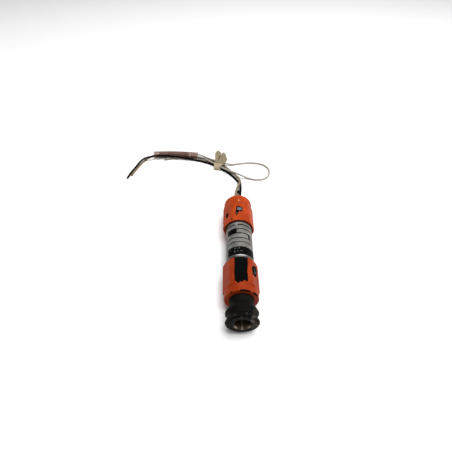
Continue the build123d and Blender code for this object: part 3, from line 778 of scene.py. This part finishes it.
# ---- rubber boot ----
def make_boot():
    """Bellows with two sharp lobes and a beaded lip."""
    nose = NOSE_Y / MM
    root = back_of("bellows_boot") / MM
    corners = [
        (root, 8.8, 0), (root, 11.8, 0), (root - 2.0, 11.8, 0), (root - 2.0, 10.2, 0),
        (nose + 16.55, 10.2, 1.0), (nose + 9.4, 13.8, 0.12), (nose + 5.6, 11.5, 0.2),
        (nose + 1.45, 13.85, 0.12), (nose + 1.0, 12.9, 0.3), (nose + 1.25, 11.2, 0.3),
        (nose + 0.8, 10.75, 0.1), (nose + 0.75, 10.95, 0.2), (nose + 0.02, 10.95, 0.5),
        (nose + 0.02, 8.3, 0.25), (nose + 2.8, 8.25, 0.1), (nose + 2.2, 11.9, 0.3),
        (nose + 5.8, 10.0, 0.4), (nose + 9.9, 12.0, 0.5), (nose + 16.6, 8.8, 0.6),
    ]

    def wobble(y, r, angle):
        depth = min(1.0, max(0.0, (nose + 17 - y) / 4))
        turn = Vector((math.sin(angle), math.cos(angle), y * 0.11))
        near_lip = 1.0 if y > nose + 2.4 else 0.35
        dr = 0.05 * noise.noise(turn * 1.7) * depth * near_lip
        dy = 0.12 * noise.noise(turn * 1.3 + Vector((5, 0, 0))) * depth if y > nose + 3 else 0
        return dy, dr

    outline = split_long(eased(corners, 6), 0.55)
    boot = lathe("bellows_boot_rubber", outline, "boot_rubber", 200, wobble)
    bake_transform(boot)
    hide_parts("bellows_boot")


def make_ferrule():
    """Turned metal mouth of the nose: flange, open bore and a drilled floor."""
    front = front_of("nose_ferrule") / MM
    shell, flange, socket, drilled, bore = 8.16, 9.26, 6.52, 2.56, 6.3
    back, floor = front + 14.5, front + 13.0
    corners = [
        (front, 7.55, 0.12), (front, 8.12, 0.2), (front + 2.8, shell, 0), (front + 2.8, flange, 0.15),
        (front + 4.0, flange, 0.15), (front + 4.0, shell, 0), (front + 18.5, shell, 0.3),
        (front + 18.5, socket, 0), (back, socket, 0), (back, drilled, 0), (floor, drilled, 0.2),
        (floor, bore, 0.3), (front + 1.3, bore, 0.25),
    ]
    ferrule = lathe("nose_ferrule_turned", split_long(eased(corners, 5), 1.0), "nose_steel", 192)
    stand_in(ferrule, NOSE, "nose_ferrule")


def make_springs():
    """Copies of the return spring and the coil's pigtail, taking the place of their CAD nodes."""
    for node, name in (("return_spring", "return_spring_wound"), ("coil_pigtail", "coil_pigtail_wire")):
        data = nodes[node].data.copy()
        data.transform(nodes[node].matrix_world)
        piece = in_scene(name, data)
        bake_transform(piece)
        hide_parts(node)


# ---- leads and string ----
LEAD_DIAMETER = 0.0024
GREY_DIAMETER = 0.002
STRAND_RADIUS = 0.00014
STRING_DIAMETER = 0.0022
STRING_STEP = 0.00022
STRING_SIDES = 20
BRAID_PITCH = 0.0052
BRAID_LOBES = 4
LEAD_AXIS = AXIS_Z / MM
GLAND = GLAND_Y / MM
BLACK_ROUTE = [
    (2.6, GLAND, LEAD_AXIS), (2.6, 82.5, LEAD_AXIS), (3.7, 96.0, 13.1), (4.9, 109.5, 8.6),
    (5.3, 120.5, 5.2), (4.0, 130.5, 2.9), (0.6, 139.6, 1.25), (-4.1, 147.6, 1.2),
    (-9.5, 155.2, 1.2), (-16.4, 162.0, 1.4), (-23.2, 168.2, 1.7), (-30.0, 174.0, 1.4),
    (-38.0, 179.4, 1.2), (-48.7, 184.2, 1.2), (-59.5, 187.3, 2.0), (-69.5, 188.7, 3.1),
    (-79.8, 189.8, 4.2), (-90.3, 190.6, 5.1), (-101.0, 190.9, 5.6), (-110.6, 189.9, 5.9),
    (-118.6, 187.7, 5.5), (-125.0, 184.9, 5.0), (-130.0, 179.6, 3.3), (-133.4, 171.2, 1.2),
    (-136.4, 161.0, 1.2), (-138.8, 151.5, 1.2), (-139.8, 143.6, 1.2),
]
TAN_ROUTE = [
    (-2.6, GLAND, LEAD_AXIS), (-2.6, 81.5, LEAD_AXIS), (-1.9, 93.0, 14.3), (-0.3, 105.0, 12.2),
    (2.2, 116.5, 9.2), (3.9, 126.4, 6.9), (3.9, 134.6, 4.7), (2.0, 141.8, 3.6),
    (-1.6, 148.6, 3.4), (-6.0, 155.6, 3.5), (-11.0, 163.0, 3.5), (-16.8, 170.2, 2.2),
    (-22.4, 177.0, 1.6), (-29.2, 183.4, 1.2), (-36.6, 188.0, 1.2), (-43.6, 191.0, 1.5),
    (-51.0, 193.0, 2.1), (-61.0, 194.6, 2.15), (-72.0, 196.2, 2.15), (-86.0, 197.5, 2.15),
    (-99.0, 198.0, 2.15), (-110.0, 197.6, 2.2), (-117.0, 196.0, 1.7), (-121.6, 192.2, 1.2),
    (-126.4, 183.4, 1.2), (-130.2, 171.6, 1.2), (-133.4, 159.9, 1.2), (-135.9, 149.4, 1.2),
]
GREY_ROUTE = [
    (0, GLAND, LEAD_AXIS), (0, 82.0, LEAD_AXIS), (0.3, 92.5, 13.2), (1.1, 102.0, 9.6),
    (2.7, 111.0, 5.6), (4.6, 119.5, 2.2), (6.0, 128.2, 1.0), (5.9, 136.4, 1.0),
    (4.2, 143.6, 1.0), (0.6, 150.2, 1.0), (-4.4, 156.2, 1.0), (-10.6, 161.6, 1.1),
    (-17.6, 167.2, 1.5), (-24.4, 173.4, 1.5), (-31.6, 179.2, 1.1), (-40.2, 184.5, 1.0),
    (-52.0, 188.2, 1.0), (-64.0, 189.9, 1.0), (-74.0, 191.5, 1.0), (-82.6, 192.0, 1.0),
    (-90.6, 189.8, 1.0), (-97.7, 187.5, 1.0),
]
STRING_ROUTE = [
    (-62.0, 192.7, 4.7), (-55.5, 192.1, 4.3), (-49.0, 190.6, 3.7), (-42.5, 187.6, 3.1),
    (-36.0, 181.6, 3.2), (-28.8, 174.6, 3.6), (-22.0, 167.4, 4.1), (-16.4, 161.8, 4.6),
    (-10.8, 156.2, 5.4), (-5.0, 151.0, 6.1), (1.2, 146.9, 6.0), (8.2, 144.7, 4.0),
    (15.5, 143.0, 1.3), (22.5, 140.6, 1.1), (30.0, 139.6, 1.1), (37.2, 142.2, 1.1),
    (42.4, 148.6, 1.1), (44.9, 157.6, 1.1), (43.8, 166.8, 1.1), (38.6, 174.2, 1.1),
    (30.0, 178.6, 1.1), (19.0, 179.8, 1.1), (8.0, 178.0, 1.1), (-2.5, 175.0, 1.3),
    (-10.0, 173.8, 2.6), (-16.0, 174.4, 4.4), (-22.0, 177.6, 4.6), (-28.5, 181.8, 3.6),
    (-35.6, 186.4, 3.5), (-42.6, 190.6, 4.1), (-49.2, 193.2, 5.6), (-56.0, 194.4, 6.2),
    (-62.0, 195.0, 6.2),
]


def route_curve(name, route, diameter):
    """Smooth NURBS line with the route's points (mm) as its control points."""
    data = bpy.data.curves.new(name, "CURVE")
    data.dimensions = "3D"
    data.resolution_u = 16
    spline = data.splines.new("NURBS")
    spline.points.add(len(route) - 1)
    for point, place in zip(spline.points, route):
        point.co = (*(c * MM for c in place), 1)
    spline.order_u = 3
    spline.use_endpoint_u = True
    data.bevel_depth = diameter / 2
    data.bevel_resolution = 5
    data.use_fill_caps = True
    return in_scene(name, data)


def centre_line(curve):
    """Points along a curve's own line, evenly spaced, and its length in metres."""
    depth = curve.data.bevel_depth
    curve.data.bevel_depth = 0
    mesh = bpy.data.meshes.new_from_object(curve)
    curve.data.bevel_depth = depth
    line = [v.co.copy() for v in mesh.vertices]
    bpy.data.meshes.remove(mesh)
    length = sum((b - a).length for a, b in zip(line, line[1:]))
    return line, length


def even_points(line, spacing):
    """The same line again, with points this far apart."""
    found = [line[0].copy()]
    left = spacing
    for a, b in zip(line, line[1:]):
        run = (b - a).length
        done = 0.0
        while run - done >= left:
            done += left
            found.append(a.lerp(b, done / run))
            left = spacing
        left -= run - done
    found.append(line[-1].copy())
    return found


def closed_tube(name, line, radius_at, segments, material):
    """Tube round a line with flat ends; radius_at(distance, angle) gives its radius."""
    points = []
    tangent = (line[1] - line[0]).normalized()
    side = tangent.orthogonal().normalized()
    travelled = 0.0
    for i, here in enumerate(line):
        ahead = (line[min(i + 1, len(line) - 1)] - line[max(i - 1, 0)]).normalized()
        side = (tangent.rotation_difference(ahead) @ side).normalized()
        tangent = ahead
        up = tangent.cross(side)
        travelled += (here - line[i - 1]).length if i else 0.0
        for j in range(segments):
            angle = 2 * math.pi * j / segments
            radial = side * math.cos(angle) + up * math.sin(angle)
            points.append(here + radial * radius_at(travelled, angle))
    faces = grid_faces(len(line), segments, False, True)
    first = len(points)
    last_ring = first - segments
    for j in range(segments):
        k = (j + 1) % segments
        faces.append((first, j, k))
        faces.append((first + 1, last_ring + k, last_ring + j))
    return mesh_piece(name, points + [line[0], line[-1]], faces, material)


def lead(name, node, route, diameter, material):
    """Insulated lead, bare and cut at its far end, with its copper strands showing."""
    curve = route_curve(name, route, diameter)
    curve.data.materials.append(materials[material])
    line, length = centre_line(curve)
    stand_in(curve, HOUSING, node)
    end, before = line[-1], line[-2]
    out = (end - before).normalized()
    side = out.orthogonal().normalized()
    up = out.cross(side)
    sixth = math.pi / 3
    places = [(0, 0)] + [(math.cos(k * sixth), math.sin(k * sixth)) for k in range(6)]
    strands = []
    for k, (a, b) in enumerate(places):
        across = side * a + up * b
        foot = end + across * 0.00028 - out * 0.0004
        tip = end + across * 0.00029 + out * (0.0004 + 0.00025 * random.random())
        strands.append(closed_tube(f"{name}_strand_{k}", [foot, foot.lerp(tip, 0.5), tip],
                                   lambda distance, angle: STRAND_RADIUS, 8, "copper_wire"))
    core = joined(f"{name}_core", strands)
    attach(core, HOUSING)
    return curve, line, length, core


def joined(name, objects):
    """One mesh object made of several."""
    first = objects[0]
    bpy.ops.object.select_all(action="DESELECT")
    for o in objects:
        o.select_set(True)
    bpy.context.view_layer.objects.active = first
    bpy.ops.object.join()
    first.name = name
    first.data.name = name
    return first


def make_string():
    """Braided cotton string: a loop whose two ends go back into the marker sleeve."""
    guide = route_curve("string_guide", STRING_ROUTE, STRING_DIAMETER)
    line, length = centre_line(guide)
    bpy.data.objects.remove(guide)
    fine = even_points(line, STRING_STEP)
    radius = STRING_DIAMETER / 2

    def strand(distance, angle):
        turn = 2 * math.pi / BRAID_PITCH * distance / BRAID_LOBES
        one = abs(math.cos(BRAID_LOBES / 2 * (angle + turn)))
        two = abs(math.cos(BRAID_LOBES / 2 * (angle - turn)))
        return radius * (0.84 + 0.16 * max(one, two) ** 0.6)

    string = closed_tube("tag_string_braid", fine, strand, STRING_SIDES, "string_cotton")
    # Painted shade mask: 1 in the grooves between the strands, 0 on their crowns.
    values = []
    for i in range(len(fine)):
        for j in range(STRING_SIDES):
            r = strand(i * STRING_STEP, 2 * math.pi * j / STRING_SIDES)
            values.append(max(0.0, min(1.0, (radius - r) / (0.09 * radius) - 0.15)))
    add_mask(string, "groove", values + [0.0, 0.0])
    stand_in(string, HOUSING, "tag_string")


# ---- marker sleeve and splice ----
SLEEVE_RADIUS = 0.0044
SLEEVE_WALL = 0.0004
SLEEVE_RIGHT = Vector((-52.0, 192.9, 4.4)) * MM
SLEEVE_MIDDLE = Vector((-84.0, 196.7, 4.4)) * MM
SLEEVE_LEFT = Vector((-113.6, 195.6, 4.4)) * MM
SPLICE_FRONT = Vector((0.72, 97.4, 11.35)) * MM
SPLICE_BACK = Vector((1.85, 106.8, 7.6)) * MM


def arc_through(a, b, c):
    """Function from 0..1 to a point and direction on the level arc through three points."""
    d = 2 * (a.x * (b.y - c.y) + b.x * (c.y - a.y) + c.x * (a.y - b.y))
    aa, bb, cc = (p.x * p.x + p.y * p.y for p in (a, b, c))
    centre_x = (aa * (b.y - c.y) + bb * (c.y - a.y) + cc * (a.y - b.y)) / d
    centre_y = (aa * (c.x - b.x) + bb * (a.x - c.x) + cc * (b.x - a.x)) / d
    centre = Vector((centre_x, centre_y, a.z))
    radius = (a - centre).length
    first = math.atan2(a.y - centre.y, a.x - centre.x)
    last = math.atan2(c.y - centre.y, c.x - centre.x)

    def place(t):
        turn = first + (last - first) * t
        radial = Vector((math.cos(turn), math.sin(turn), 0))
        along = Vector((-radial.y, radial.x, 0)) * math.copysign(1, last - first)
        return centre + radial * radius, along

    return place


def straight(start, end):
    unit = (end - start).normalized()
    return lambda t: (start.lerp(end, t), unit)


def hollow_tube(name, path, outer, wall, material, rows, segments, crinkle, slants):
    """Thin open-ended tube; crinkle dents it and slants cut its two ends askew."""
    points = []
    for layer in (0, 1):
        for i in range(rows):
            t = i / (rows - 1)
            t = t if layer == 0 else 1 - t
            centre, unit = path(t)
            side = Vector((-unit.y, unit.x, 0)).normalized()
            up = unit.cross(side)
            slant = slants[1] * (2 * t - 1) ** 8 if t > 0.5 else slants[0] * (1 - 2 * t) ** 8
            for j in range(segments):
                angle = 2 * math.pi * j / segments
                round_axis = Vector((t * 9, math.cos(angle) * 1.6, math.sin(angle) * 1.6))
                dent = crinkle * noise.noise(round_axis)
                dent += 0.4 * crinkle * noise.noise(round_axis * 2.4)
                r = outer - wall * layer - abs(dent)
                radial = side * math.cos(angle) + up * math.sin(angle)
                askew = unit * abs(slant) * (1 - math.sin(angle)) * math.copysign(1, slant)
                points.append(centre + radial * r + askew)
    faces = grid_faces(2 * rows, segments, True, True)
    return mesh_piece(name, points, faces, material)


def make_sleeve():
    whole = arc_through(SLEEVE_RIGHT, SLEEVE_MIDDLE, SLEEVE_LEFT)
    sleeve = hollow_tube("marker_sleeve_film", whole, SLEEVE_RADIUS, SLEEVE_WALL,
                         "sleeve_film", 90, 56, 0.00026, (0.0008, -0.0004))
    stand_in(sleeve, HOUSING, "marker_sleeve")
    label = hollow_tube("sleeve_insert", lambda t: whole(0.21 + 0.67 * t), SLEEVE_RADIUS - 0.0007,
                        0.00012, "sleeve_label", 60, 48, 0.0002, (0, 0))
    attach(label, HOUSING)
    return sleeve, label


def make_splice():
    """Black shrunk tube over the grey lead, a little wrinkled."""
    splice = hollow_tube("splice_sleeve_shrunk", straight(SPLICE_FRONT, SPLICE_BACK), 0.00175,
                         0.0004, "black_insulation", 40, 32, 0.00006, (0, 0))
    return stand_in(splice, HOUSING, "splice_sleeve")


# ---- tape flag ----
FLAG_BASE = Vector((-20.8, 169.6, 6.5))
FLAG_TURN = math.radians(-14)
FLAG_LEAN = math.radians(19)
TAIL_GAP = 0.6
PAPER_THICKNESS = 0.00016
CREASE_FOOT = Vector((-2.1, 5.4))
CREASE_TOP = Vector((-1.0, 9.8))


def sheet_solid(name, sheet, thickness, material):
    """Thin closed solid on both sides of a sheet, given as rows of points in metres."""
    rows, columns = len(sheet), len(sheet[0])
    front, back, count = [], [], rows * columns
    for i in range(rows):
        for j in range(columns):
            right = sheet[i][min(j + 1, columns - 1)] - sheet[i][max(j - 1, 0)]
            above = sheet[min(i + 1, rows - 1)][j] - sheet[max(i - 1, 0)][j]
            offset = right.cross(above).normalized() * thickness / 2
            front.append(sheet[i][j] + offset)
            back.append(sheet[i][j] - offset)
    faces = grid_faces(rows, columns, False, False)
    faces += [tuple(count + k for k in reversed(face)) for face in faces]
    rim = list(range(columns)) + [i * columns + columns - 1 for i in range(1, rows)]
    rim += [(rows - 1) * columns + j for j in range(columns - 2, -1, -1)]
    rim += [i * columns for i in range(rows - 2, 0, -1)]
    for a, b in zip(rim, rim[1:] + rim[:1]):
        faces.append((a, b, count + b, count + a))
    return mesh_piece(name, front + back, faces, material)


def between(table, x):
    """Straight-line reading of a list of (x, value) pairs, held at its two ends."""
    for (x0, v0), (x1, v1) in zip(table, table[1:]):
        if x <= x1:
            return v0 + (v1 - v0) * max(0.0, (x - x0) / (x1 - x0))
    return table[-1][1]


FLAG_TOP = [
    (-7.6, 12.4), (-5.4, 16.2), (-4.0, 17.2), (-2.4, 16.6), (-0.4, 15.2), (1.2, 13.0), (2.4, 14.9),
    (3.8, 15.7), (5.6, 14.8), (7.4, 12.2), (8.6, 8.6), (9.4, 5.6),
]
FLAG_LEFT = [(-1, -7.9), (3.8, -7.0), (12, -7.6), (18, -7.4)]
FLAG_RIGHT = [(-1, 5.5), (5.4, 9.3), (12, 9.1), (18, 8.4)]
WRAP = [
    (-0.1, 6.6, -7.8, 5.3), (-1.8, 6.35, -7.5, 4.2), (-3.6, 6.1, -7.2, 2.6), (-5.2, 5.6, -6.9, 1.7),
    (-6.5, 4.3, -6.6, 1.4), (-7.3, 2.7, -6.0, 1.9), (-7.5, 1.2, -5.0, 3.2), (-6.8, 0.25, -3.8, 4.3),
    (-5.0, 0.1, -4.8, 5.0), (0.0, 0.1, -7.2, 5.4), (7.0, 0.1, -7.2, 5.4), (9.6, 0.3, -7.2, 5.4),
    (10.9, 1.6, -7.2, 5.4), (10.8, 3.6, -7.2, 5.4), (9.6, 5.6, -7.2, 5.4), (7.4, 6.5, -7.3, 5.4),
    (3.8, 6.8, -7.5, 5.5), (1.2, 7.0, -7.8, 5.5),
]


def crease_at(across, height):
    """1 or more on the short slanting crease in the left tail, fading to 0 away from it."""
    here = Vector((across, height))
    line = CREASE_TOP - CREASE_FOOT
    t = max(0.0, min(1.0, (here - CREASE_FOOT).dot(line) / line.length_squared))
    return max(0.0, 1.3 - (here - CREASE_FOOT.lerp(CREASE_TOP, t)).length / 0.8)


def make_tape():
    """One strip of paper tape folded under the leads and string, its two tails pressed
    together into a notched flag. WRAP is its section: distance away from the camera side
    and height, with the left and right edges, all in millimetres from the flag's foot."""
    right = Vector((math.cos(FLAG_TURN), math.sin(FLAG_TURN), 0))
    away = Vector((-math.sin(FLAG_TURN), math.cos(FLAG_TURN), 0))
    up = Vector((0, 0, 1))
    rise = away * math.sin(FLAG_LEAN) + up * math.cos(FLAG_LEAN)
    facing = away * math.cos(FLAG_LEAN) - up * math.sin(FLAG_LEAN)
    rows_flag, columns = 34, 44

    def flag_point(a, b, offset):
        reach = FLAG_TOP[0][0] + (FLAG_TOP[-1][0] - FLAG_TOP[0][0]) * a
        top = between(FLAG_TOP, reach) + 0.2 * noise.noise(Vector((reach * 1.1, offset, 4.2)))
        height = top * b
        left_edge, right_edge = between(FLAG_LEFT, height), between(FLAG_RIGHT, height)
        across = left_edge + (right_edge - left_edge) * a
        if height > 9:
            across += (reach - across) * min(1.0, (height - 9) / 6)
        wave = 0.45 * noise.noise(Vector((across * 0.25, height * 0.13, 2.5)))
        wave += 0.22 * noise.noise(Vector((across * 0.8, height * 0.6, 9.5)))
        fold = crease_at(across, height)
        depth = offset + wave * (0.3 + b) + (0.5 * fold if offset < 0 else 0)
        return FLAG_BASE + right * across + rise * height + facing * depth, fold

    def flag_row(b, offset):
        return [flag_point(j / (columns - 1), b, offset) for j in range(columns)]

    heights = [i / (rows_flag - 1) for i in range(rows_flag)]
    stations = [flag_row(1 - b, -TAIL_GAP / 2) for b in heights]
    wrap = []
    for here, after in zip(WRAP, WRAP[1:] + WRAP[-1:]):
        for k in range(3):
            wrap.append([here[n] + (after[n] - here[n]) * k / 3 for n in range(4)])
    for _ in range(3):
        inner = [
            [(p[n] + 2 * q[n] + r[n]) / 4 for n in range(4)]
            for p, q, r in zip(wrap, wrap[1:], wrap[2:])
        ]
        wrap = wrap[:1] + inner + wrap[-1:]
    for w, z, low, high in wrap:
        row = []
        for j in range(columns):
            across = low + (high - low) * j / (columns - 1)
            ripple = 0.18 * noise.noise(Vector((across * 0.45, w * 0.4, z * 0.4))) if z > 1 else 0
            place = FLAG_BASE + right * across + away * (w + ripple)
            row.append((Vector((place.x, place.y, max(0.1, z + ripple))), 0.0))
        stations.append(row)
    stations += [flag_row(b, TAIL_GAP / 2) for b in heights]
    sheet = [[point * MM for point, _ in row] for row in stations]
    tape = sheet_solid("tape_tie_paper", sheet, PAPER_THICKNESS, "paper_tape")
    # Painted shade mask along the crease in the left tail.
    creases = [crease for row in stations for _, crease in row]
    add_mask(tape, "crease", creases + creases)
    return stand_in(tape, HOUSING, "tape_tie")


# ---- camera, light and floor ----
def make_camera():
    data = bpy.data.cameras.new("camera")
    data.sensor_width = 36
    data.lens = 25.914
    data.clip_start = 0.01
    camera = in_scene("camera", data)
    camera.location = (-0.0128, -0.20315, AXIS_Z + 0.22937)
    camera.rotation_euler = (math.radians(90 - 43.458), 0, 0)
    bpy.context.scene.camera = camera


def area_light(name, place, target, size, power):
    data = bpy.data.lights.new(name, "AREA")
    data.shape = "RECTANGLE"
    data.size, data.size_y = size
    data.energy = power
    light = in_scene(name, data)
    light.location = place
    light.rotation_euler = (Vector(target) - Vector(place)).to_track_quat("-Z", "Y").to_euler()


def make_stage():
    floor = mesh_piece("floor", [(-3, -3, 0), (3, -3, 0), (3, 3, 0), (-3, 3, 0)], [(0, 1, 2, 3)], "floor")
    world = bpy.data.worlds.new("studio")
    world.use_nodes = True
    background = world.node_tree.nodes["Background"].inputs
    background["Color"].default_value = (1, 1, 1, 1)
    background["Strength"].default_value = 0.24
    bpy.context.scene.world = world
    area_light("overhead", (0.35, 0.1, 2.4), (0, 0.05, 0), (1.8, 1.4), 68)
    area_light("front_left", (-0.7, -0.6, 0.7), (0, 0, 0), (0.5, 0.5), 0.5)
    area_light("right", (0.8, 0.1, 0.6), (0, 0, 0), (0.4, 0.5), 3)
    bpy.context.scene.view_settings.view_transform = "Standard"


make_camera()
tan_lead = lead("tan_lead_wire", "tan_lead", TAN_ROUTE, LEAD_DIAMETER, "tan_insulation")
black_lead = lead("black_lead_wire", "black_lead", BLACK_ROUTE, LEAD_DIAMETER, "black_insulation")
grey_lead = lead("grey_lead_wire", "grey_lead", GREY_ROUTE, GREY_DIAMETER, "grey_insulation")
make_string()
sleeve_pieces = make_sleeve()
splice = make_splice()
tape = make_tape()
finish_cad_nodes()
make_caps()
make_boot()
make_ferrule()
make_springs()
make_stage()
